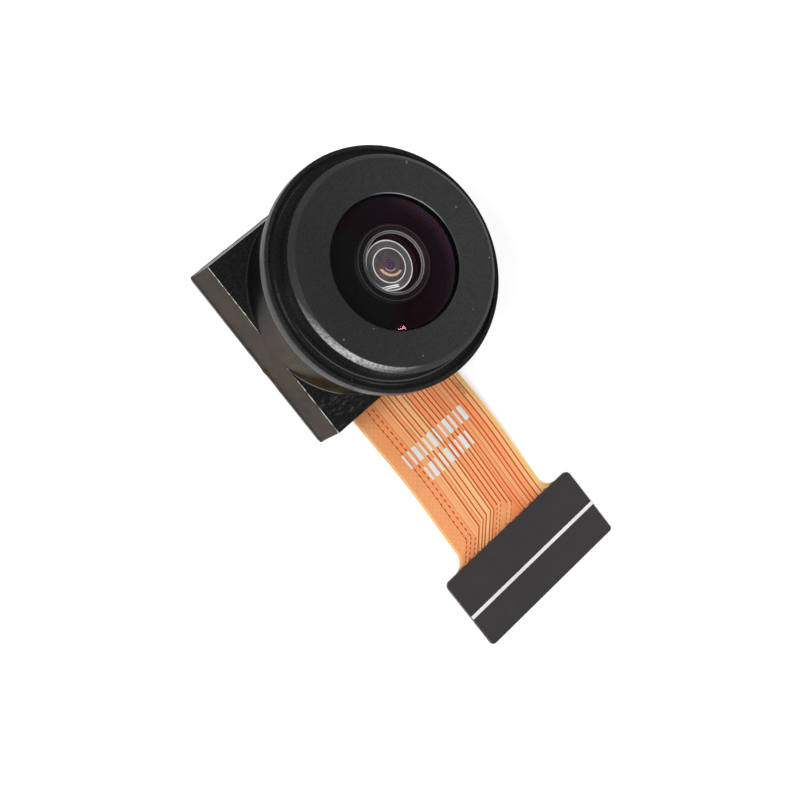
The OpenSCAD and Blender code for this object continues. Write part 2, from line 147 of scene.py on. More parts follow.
def add_piece(name, points, faces, finish, node, slot, smooth=True):
    """A mesh object from points in millimetres, riding on the body in a CAD node's place.

    faces is an array of faces with the same number of corners, or a list of such arrays.
    """
    parts = [np.asarray(f, np.int32) for f in (faces if isinstance(faces, list) else [faces])]
    sizes = np.concatenate([np.full(len(f), f.shape[1], np.int32) for f in parts])
    corners = np.concatenate([f.ravel() for f in parts])
    mesh = bpy.data.meshes.new(name)
    mesh.vertices.add(len(points))
    mesh.vertices.foreach_set("co", (np.asarray(points, float) * MM).ravel())
    mesh.loops.add(len(corners))
    mesh.loops.foreach_set("vertex_index", corners)
    mesh.polygons.add(len(sizes))
    mesh.polygons.foreach_set("loop_start", np.concatenate([[0], np.cumsum(sizes)[:-1]]).astype(np.int32))
    mesh.polygons.foreach_set("use_smooth", np.full(len(sizes), smooth))
    mesh.update(calc_edges=True)
    piece = bpy.data.objects.new(name, mesh)
    bpy.context.scene.collection.objects.link(piece)
    mesh.materials.append(finish)
    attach(piece, "root")
    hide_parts(node)
    return piece


def turned(reach, z, a):
    """Points (reach cos a, reach sin a, z) for rows of reaches and heights and directions a."""
    return np.stack([reach * np.cos(a), reach * np.sin(a), z + 0 * a], axis=-1).reshape(-1, 3)


def section_rows(rows, a):
    """Points and faces of a closed section of (reach, height) rows, carried round the directions a."""
    reach, z = (np.stack([row[k] + 0 * a for row in rows]) for k in (0, 1))
    return turned(reach, z, a), grid_faces(len(rows), len(a), True, True)


def rounded(corners, radius, steps=5):
    """A closed outline with each corner replaced by an arc of the given radius.

    corners is a list of (r, z) or (r, z, own radius). The arc is tangent to both sides: it starts
    at radius * tan(turn / 2) from the corner, and its points follow the circle between them.
    """
    own = [c[2] if len(c) > 2 else radius for c in corners]
    flat = np.array([c[:2] for c in corners], float)
    out = []
    count = len(flat)
    for k in range(count):
        before = flat[k - 1] - flat[k]
        after = flat[(k + 1) % count] - flat[k]
        la, lb = np.linalg.norm(before), np.linalg.norm(after)
        ua, ub = before / la, after / lb
        cosine = np.clip(ua @ ub, -1, 1)
        turn = math.pi - math.acos(cosine)
        if own[k] <= 0 or turn < 0.05:
            out.append(flat[k][None])
            continue
        reach = min(own[k] * math.tan(turn / 2), 0.48 * la, 0.48 * lb)
        r = reach / math.tan(turn / 2)
        middle = (ua + ub) / np.linalg.norm(ua + ub)
        centre = flat[k] + middle * r / math.cos(turn / 2)
        start = flat[k] + ua * reach - centre
        end = flat[k] + ub * reach - centre
        sweep = math.atan2(start[0] * end[1] - start[1] * end[0], start @ end)
        t = np.linspace(0, sweep, steps + 1)
        arc = np.stack([start[0] * np.cos(t) - start[1] * np.sin(t),
                        start[0] * np.sin(t) + start[1] * np.cos(t)], axis=-1)
        out.append(centre + arc)
    return np.concatenate(out)


def lathe(name, outline, finish, node, slot, around=192):
    """A closed outline (r, z) turned about the lens axis: point (r cos a, r sin a, z).

    The outline runs so that the material is on its left, which makes the faces point outwards.
    """
    a = np.linspace(0, TURN, around, endpoint=False)
    faces = grid_faces(len(outline), around, True, True)
    return add_piece(name, turned(outline[:, :1], outline[:, 1:], a), faces, finish, node, slot)


def lathe_open(name, outline, finish, node, slot, around=192):
    """An outline (r, z) that starts and ends on the axis, turned about it, with a fan at each pole."""
    inner = outline[1:-1]
    a = np.linspace(0, TURN, around, endpoint=False)
    points = turned(inner[:, :1], inner[:, 1:], a)
    start, end = len(points), len(points) + 1
    points = np.vstack([points, [0, 0, outline[0, 1]], [0, 0, outline[-1, 1]]])
    k = np.arange(around)
    last = (len(inner) - 1) * around
    first_fan = np.stack([np.full(around, start), (k + 1) % around, k], axis=-1)
    last_fan = np.stack([np.full(around, end), last + k, last + (k + 1) % around], axis=-1)
    faces = [grid_faces(len(inner), around, False, True), first_fan, last_fan]
    return add_piece(name, points, faces, finish, node, slot)


# ------------ finishes

NOISE_LOW, NOISE_HIGH = 0.3, 0.7


class Finish:
    """The node tree of one finish, or of the world, built from short calls."""

    def __init__(self, name, owner=None, out="OutputMaterial", place="Object"):
        self.material = owner or bpy.data.materials.new(name)
        self.material.use_nodes = True
        self.tree = self.material.node_tree
        self.tree.nodes.clear()
        self.out = self.node(out).inputs["Surface"]
        self.place = self.node("TexCoord").outputs[place]

    def put(self, socket, value):
        """Links a socket, or sets its number or colour."""
        if isinstance(value, bpy.types.NodeSocket):
            self.tree.links.new(value, socket)
        else:
            socket.default_value = value

    def node(self, kind, *values, **named):
        """A node, its first sockets filled in order and its settings and other sockets by name."""
        made = self.tree.nodes.new("ShaderNode" + kind)
        for key, value in named.items():
            if hasattr(made, key):
                setattr(made, key, value)
            else:
                self.put(made.inputs[key.replace("_", " ")], value)
        for socket, value in zip(made.inputs, values):
            self.put(socket, value)
        return made

    def math(self, operation, a, b=0.0, clamp=False):
        """One sum, by the name of its operation."""
        return self.node("Math", a, b, 0.0, operation=operation, use_clamp=clamp).outputs[0]

    def chain(self, operation, values):
        """The operation carried through all the values, from the first on."""
        total = values[0]
        for value in values[1:]:
            total = self.math(operation, total, value)
        return total

    def times(self, *values):
        return self.chain("MULTIPLY", values)

    def plus(self, *values):
        return self.chain("ADD", values)

    def most(self, *values):
        return self.chain("MAXIMUM", values)

    def minus(self, a, b):
        return self.math("SUBTRACT", a, b)

    def over(self, a, b):
        return self.math("DIVIDE", a, b)

    def above(self, a, b):
        return self.math("GREATER_THAN", a, b)

    def abs(self, a):
        return self.math("ABSOLUTE", a)

    def apart(self, a, b):
        """How far two numbers lie apart."""
        return self.abs(self.minus(a, b))

    def along(self, x, y, to_x, to_y):
        """How far (x, y) lies along the direction (to_x, to_y)."""
        return self.plus(self.times(x, to_x), self.times(y, to_y))

    def noise(self, scale, detail=4.0, roughness=0.55, stretch=(1, 1, 1), distortion=0.0):
        """Noise whose scale is in cycles per metre, on Object coordinates stretched by axis."""
        place = self.node("Mapping", Vector=self.place, Scale=stretch).outputs[0]
        return self.node("TexNoise", Vector=place, Scale=scale, Detail=detail, Roughness=roughness,
                         Distortion=distortion).outputs["Fac"]

    def ramp(self, factor, *stops):
        """Colour ramp from stops of (position, colour)."""
        made = self.node("ValToRGB", factor)
        elements = made.color_ramp.elements
        while len(elements) < len(stops):
            elements.new(0.5)
        for element, (position, colour) in zip(elements, stops):
            element.position = position
            element.color = (*colour, 1)
        return made.outputs[0]

    def grade(self, value, low_in, high_in, low_out=0.0, high_out=1.0):
        """Straight map of a value from one range to another, held at both ends."""
        return self.node("MapRange", value, low_in, high_in, low_out, high_out).outputs[0]

    def rise(self, value, low_in, high_in, low_out=0.0, high_out=1.0):
        """The same map for a length, from limits in millimetres."""
        return self.grade(value, low_in * MM, high_in * MM, low_out, high_out)

    def spread(self, noise, low_out=0.0, high_out=1.0):
        """The middle of a noise's range spread over the given one."""
        return self.grade(noise, NOISE_LOW, NOISE_HIGH, low_out, high_out)

    def mix(self, factor, a, b):
        """Colour, or number where a is one, between a and b."""
        number = isinstance(a, (int, float)) or getattr(a, "type", "") == "VALUE"
        made = self.node("Mix", factor, data_type="FLOAT" if number else "RGBA")
        first = 2 if number else 6
        for socket, value in zip(made.inputs[first:first + 2], (a, b)):
            self.put(socket, (*value, 1) if isinstance(value, tuple) else value)
        return made.outputs[0 if number else 2]

    def blend(self, factor, a, b):
        """One shader where the factor is 0 and the other where it is 1."""
        return self.node("MixShader", factor, a, b).outputs[0]

    def split(self, place=None):
        """The three numbers of a place, in metres."""
        return self.node("SeparateXYZ", place or self.place).outputs

    def bump(self, height, strength, distance_mm):
        """Surface direction from a height that stands for up to distance_mm."""
        return self.node("Bump", Height=height, Strength=strength, Distance=distance_mm * MM).outputs[0]

    def done(self, shader):
        """Links the last shader and gives the material."""
        self.put(self.out, shader)
        return self.material

    def surface(self, **values):
        """The material with the principled shader, its sockets filled by name."""
        return self.done(self.node("BsdfPrincipled", **values).outputs[0])


def rgb(r, g, b):
    """Linear colour from display values of 0 to 255."""
    return tuple(((v / 255 + 0.055) / 1.055) ** 2.4 if v > 10 else v / 255 / 12.92 for v in (r, g, b))


def grey(v):
    """Linear grey from one display value."""
    return rgb(v, v, v)


def moulded_black():
    """Brown-black moulded plastic: walls with a painted brown sheen and painted shade, an eroded top of
    the base, a painted glint on one edge.
    """
    f = Finish("moulded_black")
    x, y, z = f.split()
    cloud = f.noise(420, 4, 0.6)
    grain = f.noise(9000, 3, 0.6)
    r = from_axis(f, x, y)
    top = f.rise(f.apart(z, (BASE_TOP_Z + 0.02) * MM), 0.04, 0.06, 1, 0)
    top = f.times(top, f.rise(r, BOSS_R - 0.03, BOSS_R - 0.01))
    # Painted sheen: the walls' clouded brown stands in for light reflected from the floor
    wall = f.mix(f.spread(cloud), rgb(30, 22, 12), rgb(51, 41, 27))
    wall = f.mix(f.grade(f.noise(1900, 4, 0.7), 0.42, 0.62, 0, 0.22), wall, rgb(70, 62, 50))
    # Painted shade: the walls darken towards +Y
    wall = f.mix(f.rise(y, 0, 7, 0, 0.35), wall, rgb(30, 24, 16))
    # Painted shade: darker and redder at the foot of the walls, ragged and mottled
    ragged = f.plus(z, f.spread(cloud, -0.25 * MM, 0.25 * MM))
    foot = f.rise(ragged, HOLDER_Z + 0.2, HOLDER_Z + 0.7, 1, 0)
    wall = f.mix(f.times(foot, f.grade(f.noise(1300, 3, 0.6), 0.4, 0.6, 0.2, 0.9)), wall, rgb(34, 22, 14))
    eroded = f.mix(f.grade(grain, 0.35, 0.65), grey(22), grey(38))
    # Painted shade: the boss is black except where it faces -X and a little -Y, where the painted sheen
    # stays
    facing = f.over(f.along(x, y, *SHEEN_WAY), r)
    boss_shade = f.times(f.grade(facing, 0.91, 0.76), f.rise(z, BASE_TOP_Z, BASE_TOP_Z + 0.04))
    wall = f.mix(boss_shade, wall, rgb(14, 13, 12))
    # Rubbed streaks on the top of the base, near its corner at -X -Y
    near = f.times(f.rise(x, -2.6, -4.4), f.rise(y, -3.4, -4.6))
    streak = f.noise(2600, 5, 0.7, (0.5, 1.6, 1), distortion=1.2)
    rub = f.times(near, top, f.grade(streak, 0.54, 0.64))
    colour = f.mix(f.times(rub, 0.6), f.mix(top, wall, eroded), rgb(80, 78, 76))
    # Painted highlight along the top edge at -X, broken in places, and gone where the boss meets the side
    side = HOLDER_HALF - DRAFT
    edge_glint = f.times(f.rise(x, 0.07 - side, 0.05 - side), band(f, z, BASE_TOP_Z - 0.03, 0.012, 0.01),
                   f.rise(f.abs(y), 1.35, 1.5), f.grade(f.noise(1700, 3, 0.6), 0.42, 0.56, 0.1, 1))
    colour = f.mix(edge_glint, colour, rgb(205, 203, 198))
    # Painted highlight: a thin pale line where the boss meets the top of the base, at -X -Y
    root = f.times(band(f, r, BOSS_R + 0.075, 0.015, 0.015), f.rise(f.along(x, y, *ROOT_GLINT_WAY), 6.7, 6.88),
                   band(f, z, BASE_TOP_Z + 0.06, 0.065, 0.02), 0.8)
    colour = f.mix(root, colour, rgb(120, 118, 114))
    rough = f.mix(top, f.spread(grain, 0.26, 0.34), f.spread(grain, 0.38, 0.5))
    return f.surface(Base_Color=colour, Roughness=rough, Specular_IOR_Level=0.05,
                     Normal=f.bump(grain, 0.25, 0.015))


def anodised_black(name, light, dark, rough_low, rough_high, specular):
    """Black anodised metal: fine blasted grain, a few pale specks of dust, and on the flange a painted
    reflection of the bevel.
    """
    f = Finish(name)
    grain = f.noise(7000, 2, 0.6)
    cloud = f.noise(500, 3)
    specks = f.grade(f.noise(2400, 1, 0.4), 0.79, 0.81)
    base = f.plus(f.spread(cloud, 0, 0.4), f.grade(grain, 0.35, 0.65, 0, 0.6))
    base = f.mix(base, dark, light)
    colour = f.mix(f.times(specks, 0.3), base, grey(140))
    # Painted reflection of the bright bevel: a faint pale arc on the flange, at -X -Y
    x, y, z = f.split()
    line = band(f, from_axis(f, x, y), BEVEL_REFLECTION_R, 0.025, 0.03)
    near = f.rise(f.times(f.along(x, y, 0.6, 0.8), -1.0), 3.2, 5.5)
    near = f.times(near, f.rise(z, FLANGE_TOP_Z - 0.05, FLANGE_TOP_Z - 0.04))
    colour = f.mix(f.times(line, near, 0.8), colour, grey(88))
    return f.surface(Base_Color=colour, Roughness=f.spread(grain, rough_low, rough_high),
                     Normal=f.bump(grain, 0.3, 0.012), Specular_IOR_Level=specular)


def blasted_face():
    """Face and bevel of the ring: blasted grain, painted light that makes it paler towards +X, a painted
    highlight on the bevel at -X -Y, painted shade on the bevel towards +X, and a painted highlight at the
    opening.
    """
    f = Finish("blasted_face")
    x, y, z = f.split()
    r = from_axis(f, x, y)
    grain = f.noise(7500, 2, 0.6)
    # Painted light: the face grows paler towards +X
    side = f.rise(f.minus(x, f.times(y, 0.3)), -5, 6)
    base = f.mix(side, grey(48), grey(62))
    shade = f.mix(f.grade(grain, 0.35, 0.65), f.mix(side, grey(41), grey(53)), base)
    shade = f.mix(f.spread(f.noise(450, 3), 0, 0.2), shade, grey(46))
    # Painted highlight on the bevel, grained: its middle turns from 193 to 209 degrees as the bevel rises
    angle = f.math("ARCTAN2", f.minus(0.0, y), f.minus(0.0, x))
    low_z = FRONT_Z - RING_CONE - RING_BEVEL
    middle = f.plus(f.times(f.minus(z, low_z * MM), 1.0 / MM), math.radians(193 - 180))
    bevel_highlight = f.grade(f.apart(angle, middle), 0.08, 0.62, 1, 0)
    bevel = f.times(f.rise(r, BEVEL_INNER_R - 0.02, BEVEL_INNER_R + 0.03),
                    f.rise(z, low_z - 0.03, low_z + 0.01))
    metal = f.mix(f.grade(f.noise(6000, 3, 0.7), 0.35, 0.65), grey(108), grey(196))
    # Painted shade: the bevel darker towards +X -Y
    bevel_shade = f.rise(f.minus(f.times(x, 0.82), f.times(y, 0.57)), 2, 6, 0, 0.6)
    shade = f.mix(f.times(bevel_shade, bevel), shade, grey(36))
    colour = f.mix(f.times(bevel_highlight, bevel, f.rise(z, low_z, low_z + 0.3, 0.6, 0.95)), shade, metal)
    # Painted highlight: a pale line on the small bevel of the opening, at +X
    opening = band(f, r, OPENING_R + 0.035, 0.016, 0.012)
    ahead = f.along(x, y, math.cos(0.6), math.sin(0.6))
    colour = f.mix(f.times(opening, f.rise(ahead, 3.4, 4.2, 0, 0.8)), colour, grey(140))
    specks = f.grade(f.noise(2400, 1, 0.4), 0.795, 0.81)
    colour = f.mix(f.times(specks, 0.35), colour, grey(150))
    return f.surface(Base_Color=colour, Roughness=f.spread(grain, 0.4, 0.5),
                     Normal=f.bump(grain, 0.4, 0.015), Specular_IOR_Level=0.08)


def plain(name, colour, roughness, **more):
    """A finish with a faint cloud in its colour and a fine grain in its surface."""
    f = Finish(name)
    cloud = f.noise(700, 3)
    grain = f.noise(8000, 2)
    tint = f.mix(f.spread(cloud), tuple(0.88 * c for c in colour), colour)
    rough = f.spread(grain, roughness * 0.85, min(1.0, roughness * 1.15))
    return f.surface(Base_Color=tint, Roughness=rough, Normal=f.bump(grain, 0.2, 0.01), **more)


def coated_glass(name, ior, gloss, *stops):
    """Clear glass with a coating, whose reflection changes colour from facing to grazing.

    stops are (facing, colour) of the reflection. Light from the lamps passes straight through to
    what lies inside, and nothing reflects on the inner side of the surface.
    """
    f = Finish(name)
    fresnel = f.node("Fresnel", IOR=ior).outputs[0]
    facing = f.node("LayerWeight", Blend=0.5).outputs["Facing"]
    gloss = f.grade(facing, 0.04, 0.2, 0.5 * gloss, gloss)
    through = f.node("BsdfRefraction", Color=(1, 1, 1, 1), Roughness=0.0, IOR=ior).outputs[0]
    mirror = f.node("BsdfGlossy", Color=f.ramp(facing, *stops), Roughness=0.04).outputs[0]
    outside = f.minus(1.0, f.node("NewGeometry").outputs["Backfacing"])
    clear = f.node("BsdfTransparent", Color=(1, 1, 1, 1)).outputs[0]
    shadow = f.node("LightPath").outputs["Is Shadow Ray"]
    return f.done(f.blend(shadow, f.blend(f.times(fresnel, gloss, outside), through, mirror), clear))


def from_axis(f, x, y, dx=0.0, dy=0.0):
    """Distance in metres from an upright line through (dx, dy) in millimetres."""
    x = f.minus(x, dx * MM)
    y = f.minus(y, dy * MM)
    return f.math("SQRT", f.along(x, y, x, y))


def band(f, value, middle, half, soft):
    """1 inside middle +- half, in millimetres, falling to 0 over soft."""
    return f.rise(f.apart(value, middle * MM), half, half + soft, 1, 0)


def baffle_black():
    """Black baffle with a grey cone and bright rims at its hole and at its top, and two painted glints
    across the cone.
    """
    f = Finish("baffle_black")
    x, y, _ = f.split()
    r = from_axis(f, x, y)
    cone = band(f, r, (CONE_R + HOLE_R) / 2, (CONE_R - HOLE_R) / 2, 0.02)
    rims = f.most(band(f, r, HOLE_R + 0.025, 0.022, 0.02), band(f, r, CONE_R - 0.01, 0.025, 0.02))
    cloud = f.noise(1500, 3)
    colour = f.mix(cone, grey(10), f.mix(f.spread(cloud), grey(66), grey(84)))
    colour = f.mix(rims, colour, rgb(225, 225, 222))
    # Two bright parallel painted glints across the cone at -X -Y
    across = f.along(x, y, math.cos(GLINT_WAY), math.sin(GLINT_WAY))
    along = f.minus(f.times(y, math.cos(GLINT_WAY)), f.times(x, math.sin(GLINT_WAY)))
    glint_lines = f.most(band(f, across, 1.41, 0.024, 0.02), band(f, across, 1.52, 0.024, 0.02))
    short = f.times(f.rise(along, -1.1, -1.0), f.rise(along, 0.25, 0.32, 1, 0))
    colour = f.mix(f.times(glint_lines, short), colour, grey(245))
    return f.surface(Base_Color=colour, Roughness=f.spread(cloud, 0.3, 0.4),
                     Normal=f.bump(f.noise(9000, 2), 0.2, 0.01), Specular_IOR_Level=0.2)


def crown_reflections():
    """Dark crown whose grey stands in for the glass's sheen, with painted reflections: a violet swirl
    round its middle and a straw-coloured arc below it.
    """
    f = Finish("crown_reflections")
    x, y, _ = f.split()
    r = from_axis(f, x, y)
    cloud = f.noise(1200, 3, distortion=1.0)
    # Painted sheen: the clouded grey of the crown
    base = f.mix(f.spread(cloud), rgb(50, 48, 50), rgb(72, 68, 68))
    fine = f.math("SINE", f.plus(f.times(r, TURN / (0.13 * MM)), f.spread(cloud, 0, 5)))
    base = f.mix(f.grade(fine, 0.2, 1, 0, 0.35), base, rgb(104, 100, 102))
    warm = f.rise(from_axis(f, x, y, -0.6, 0.25), 0.1, 0.6, 0.6, 0)
    base = f.mix(warm, base, rgb(84, 54, 52))
    # Painted reflection of a swirl on a dark violet middle: rings whose radius grows with the angle round
    # the axis
    winding = f.plus(f.over(r, 0.19 * MM), f.over(f.math("ARCTAN2", y, x), TURN))
    swirl_reflection = f.grade(f.apart(f.math("FRACT", winding), 0.5), 0.08, 0.24, 1, 0)
    near = f.rise(r, 0.26, 0.44, 1, 0)
    colour = f.mix(f.times(near, 0.85), base, rgb(34, 18, 32))
    colour = f.mix(f.times(swirl_reflection, near), colour, rgb(98, 70, 100))
    # Painted reflections: a straw-coloured arc, and a thin rosy one inside it
    below = f.along(x, y, *GLINT_ARC_WAY)
    off = from_axis(f, x, y, *GLINT_ARC_MIDDLE)
    half = f.rise(below, 0.3, 0.36)
    arc = f.times(band(f, off, GLINT_ARC_R, 0.05, 0.06), half)
    fringe = f.times(band(f, off, GLINT_ARC_R + 0.1, 0.02, 0.03), half)
    colour = f.mix(fringe, colour, rgb(96, 58, 36))
    colour = f.mix(arc, colour, rgb(188, 158, 122))
    rosy = f.times(band(f, r, 0.42, 0.014, 0.02), f.rise(below, 0.18, 0.26))
    colour = f.mix(rosy, colour, rgb(190, 150, 150))
    return f.surface(Base_Color=colour, Roughness=f.spread(cloud, 0.28, 0.34), Specular_IOR_Level=0.15)


def ground_edge(name, dark, light):
    """Fine-ground glass at the rim of the front element's hollow."""
    f = Finish(name)
    grain = f.noise(9000, 3)
    colour = f.mix(f.spread(grain), grey(dark), grey(light))
    return f.surface(Base_Color=colour, Roughness=f.spread(grain, 0.5, 0.6))


def ink_black():
    """Black ink behind the front glass, with a painted blue-green tint towards +X that offsets the red of
    the coating's reflection there.
    """
    f = Finish("front_ink")
    x, y, _ = f.split()
    # Painted tint against the coating's red reflection: bluer towards +X
    side = f.rise(f.along(x, y, 0.96, 0.28), -1.5, 1.5)
    grain = f.noise(8000, 2)
    colour = f.mix(side, f.mix(f.spread(grain), rgb(4, 5, 5), rgb(7, 8, 8)), rgb(2, 14, 12))
    return f.surface(Base_Color=colour, Roughness=f.spread(grain, 0.85, 0.95), Specular_IOR_Level=0.0)


holder_black = moulded_black()
ring_black = blasted_face()
barrel_black = anodised_black("barrel_black", grey(32), grey(20), 0.2, 0.26, 0.32)
wall_black = anodised_black("wall_black", grey(25), grey(13), 0.2, 0.26, 0.3)
# Painted sheen: a lighter copy of the anodised black for the flange's lip and side
lip_sheen_black = anodised_black("lip_sheen_black", grey(56), grey(20), 0.3, 0.4, 0.16)
bore_black = anodised_black("bore_black", grey(8), grey(4), 0.3, 0.4, 0.1)
inner_black = plain("inner_black", rgb(19, 19, 20), 0.5, Specular_IOR_Level=0.2)
cone_black = baffle_black()
rim_glass = ground_edge("ground_edge", 92, 112)
dull_rim_glass = ground_edge("ground_flat", 36, 46)
front_ink = ink_black()
shoulder_ink = plain("shoulder_ink", rgb(7, 7, 8), 0.5, Specular_IOR_Level=0.1)
front_glass = coated_glass("front_glass", 1.6, 1.7, (0.05, (0.75, 0.75, 0.8)), (0.1, (0.8, 0.27, 0.42)),
                           (0.2, (0.7, 0.26, 0.44)), (0.4, (0.55, 0.2, 0.46)), (0.7, (0.4, 0.28, 0.42)))
inner_glass = coated_glass("inner_glass", 1.55, 0.9, (0.2, (0.4, 0.3, 0.6)), (0.6, (0.5, 0.4, 0.3)))
crown_reflection_finish = crown_reflections()
bond_black = plain("bond_black", rgb(34, 26, 20), 0.22, Specular_IOR_Level=0.3)

# ------------ lens


def arc_profile(radius, apex_z, r_from, r_to, count):
    """Points (r, z) of a sphere of the given radius with its highest point at apex_z."""
    r = np.linspace(r_from, r_to, count)
    return np.stack([r, apex_z - (radius - np.sqrt(radius ** 2 - r ** 2))], axis=-1)


def shade_faces(piece, finish, chosen):
    """Gives the faces that `chosen` picks, from their middle's radius and height, another finish."""
    mesh = piece.data
    mesh.materials.append(finish)
    middle = np.empty(len(mesh.polygons) * 3)
    mesh.polygons.foreach_get("center", middle)
    middle = middle.reshape(-1, 3) / MM
    index = np.empty(len(mesh.polygons), np.int32)
    mesh.polygons.foreach_get("material_index", index)
    index[chosen(np.hypot(middle[:, 0], middle[:, 1]), middle[:, 2])] = len(mesh.materials) - 1
    mesh.polygons.foreach_set("material_index", index)


def front_ring():
    """Bevelled ring: outer wall, bevel, slightly rising face, small bevel at the opening, lip."""
    bevel, cone, edge = RING_BEVEL, RING_CONE, 0.08
    opening, bore = OPENING_R, 6.35
    outline = rounded([
        (bore, FLANGE_TOP_Z, 0.03), (RING_R, FLANGE_TOP_Z, 0.03),
        (RING_R, FRONT_Z - cone - bevel, 0.05), (RING_R - bevel, FRONT_Z - cone, 0.16),
        (opening + edge, FRONT_Z, 0.03), (opening, FRONT_Z - edge, 0.03),
        (opening, GLASS_FLAT_Z, 0.02), (bore, GLASS_FLAT_Z, 0.02),
    ], 0.03)
    piece = lathe("ring_front", outline, ring_black, "front_ring", "black_metal", 256)
    shade_faces(piece, wall_black, lambda r, z: (r > RING_R - 0.02) & (z < FRONT_Z - cone - bevel))
    shade_faces(piece, bore_black, lambda r, z: (r < opening + 0.02) | (z < FLANGE_TOP_Z + 0.01))
    return piece


def lens_barrel():
    """Barrel with a plain shank, flange with groove and lip, neck and stepped bore."""
    lip, groove, depth, bevel = 0.3, 0.28, 0.12, 0.1
    neck_r = 6.3
    r = FLANGE_R
    bore = [
        (neck_r, GLASS_FLAT_Z - 0.1), (6.0, GLASS_FLAT_Z - 0.1), (6.0, GLASS_FLAT_Z - 0.4),
        (GLASS_R + 0.01, GLASS_FLAT_Z - 0.4), (GLASS_R + 0.01, GLASS_SEAT_Z),
        (MIDDLE_R + 0.01, GLASS_SEAT_Z), (MIDDLE_R + 0.01, low("aperture_stop", 2)),
        (3.11, low("aperture_stop", 2)), (3.11, SHANK_Z + 0.6), (2.6, SHANK_Z + 0.6), (2.6, SHANK_Z),
    ]
    outline = rounded([
        (SHANK_R, SHANK_Z, 0.1), (SHANK_R, FLANGE_Z, 0.04), (r, FLANGE_Z, bevel),
        (r, FLANGE_TOP_Z, 0.05), (r - lip, FLANGE_TOP_Z, 0.04), (r - lip, FLANGE_TOP_Z - depth, 0.03),
        (r - lip - groove, FLANGE_TOP_Z - depth, 0.03), (r - lip - groove, FLANGE_TOP_Z, 0.03),
        (neck_r, FLANGE_TOP_Z, 0.02), *bore,
    ], 0.02, 4)
    piece = lathe("barrel", outline, barrel_black, "lens_barrel", "black_metal", 256)
    shade_faces(piece, lip_sheen_black, lambda radius, z: (radius > r - lip - 0.01) & (z > FLANGE_Z - 0.01))
    return piece


def front_element():
    """Meniscus: domed front, straight edge, hollow back with a ground shoulder; its back is inked black.

    Front and hollow are arcs of radius 12.9 and 3.4; the shoulder rises outwards from the hollow.
    The flat back stands 0.01 off its seat, so that the two surfaces don't coincide.
    """
    rim = 4.34
    front_r, hollow_r, hollow_rim = 12.9, 3.4, 1.8
    hollow_top = CROWN_Z - 0.9
    back_z = GLASS_SEAT_Z + 0.01
    step_z = hollow_top - hollow_r + math.sqrt(hollow_r ** 2 - hollow_rim ** 2)
    shoulder = [[1.85, step_z + 0.04], [1.93, step_z + 0.10], [1.98, step_z + 0.14],
                [2.30, step_z + 0.16], [2.34, step_z + 0.16], [2.42, step_z + 0.14], [2.45, back_z]]
    outline = np.vstack([
        arc_profile(hollow_r, hollow_top, 0, hollow_rim, 48), shoulder,
        [[GLASS_R, back_z], [GLASS_R, GLASS_FLAT_Z], [rim + 0.005, GLASS_FLAT_Z]],
        arc_profile(front_r, CROWN_Z, rim, 0, 64),
    ])
    piece = lathe_open("glass_front", outline, front_glass, "front_element", "lens_glass")
    shade_faces(piece, front_ink, lambda r, z: ((r > hollow_rim) & (z < GLASS_FLAT_Z - 0.01)) | (r > rim))
    shade_faces(piece, shoulder_ink, lambda r, z: (r > hollow_rim) & (r < 2.5) & (z < step_z + 0.2))
    for start, end, finish in ((1.8, 1.85, rim_glass), (1.85, 1.93, dull_rim_glass),
                               (1.93, 1.98, rim_glass), (2.30, 2.34, dull_rim_glass)):
        shade_faces(piece, finish, lambda r, z: (z < step_z + 0.2) & (r > start) & (r < end))
    return piece


def front_baffle():
    """Ring with a well and a cone down to its hole, and a domed underside."""
    outline = rounded([
        (HOLE_R, BAFFLE_Z + 0.44), (1.9, BAFFLE_Z + 0.22), (2.55, BAFFLE_Z), (MIDDLE_R, BAFFLE_Z),
        (MIDDLE_R, GLASS_SEAT_Z), (2.0, GLASS_SEAT_Z), (2.0, GLASS_SEAT_Z - 0.2),
        (CONE_R, GLASS_SEAT_Z - 0.2), (HOLE_R, GLASS_SEAT_Z - 0.35),
    ], 0.02, 3)
    return lathe("baffle", outline, cone_black, "front_baffle", "black_metal")


def second_element():
    """Meniscus behind the baffle: crown of radius 6 up to its flat ring, hollow of radius 2.4 below."""
    flat_z, crown_r, hollow_r = BAFFLE_Z, 6.0, 2.4
    rim = MIDDLE_R - 1.2
    crown_z = flat_z + crown_r - math.sqrt(crown_r ** 2 - rim ** 2)
    low_z = flat_z - 1.0
    hollow_top = crown_z - 0.7
    hollow_rim = math.sqrt(hollow_r ** 2 - (hollow_r - (hollow_top - low_z)) ** 2)
    outline = np.vstack([
        arc_profile(hollow_r, hollow_top, 0, hollow_rim, 24),
        [[MIDDLE_R - 0.02, low_z], [MIDDLE_R - 0.02, flat_z], [rim + 0.02, flat_z]],
        arc_profile(crown_r, crown_z, rim, 0, 48),
    ])
    return lathe_open("glass_second", outline, crown_reflection_finish, "second_element", "lens_glass", 128)


def third_element():
    """Domed element under the second one, with a flat back."""
    top, bottom, dome_r = high("third_element", 2), low("third_element", 2), 5.0
    rim = MIDDLE_R - 1.2
    flat_z = top - (dome_r - math.sqrt(dome_r ** 2 - rim ** 2))
    outline = np.vstack([
        [[0, bottom], [1.2, bottom], [MIDDLE_R - 0.02, bottom], [MIDDLE_R - 0.02, flat_z],
         [rim + 0.02, flat_z]],
        arc_profile(dome_r, top, rim, 0, 32),
    ])
    return lathe_open("glass_third", outline, inner_glass, "third_element", "lens_glass", 96)


# ------------ holder


def from_side(a):
    """Angle between direction a and the nearest side's middle, from 0 to 45 degrees."""
    return np.abs((a + math.pi / 4) % (math.pi / 2) - math.pi / 4)


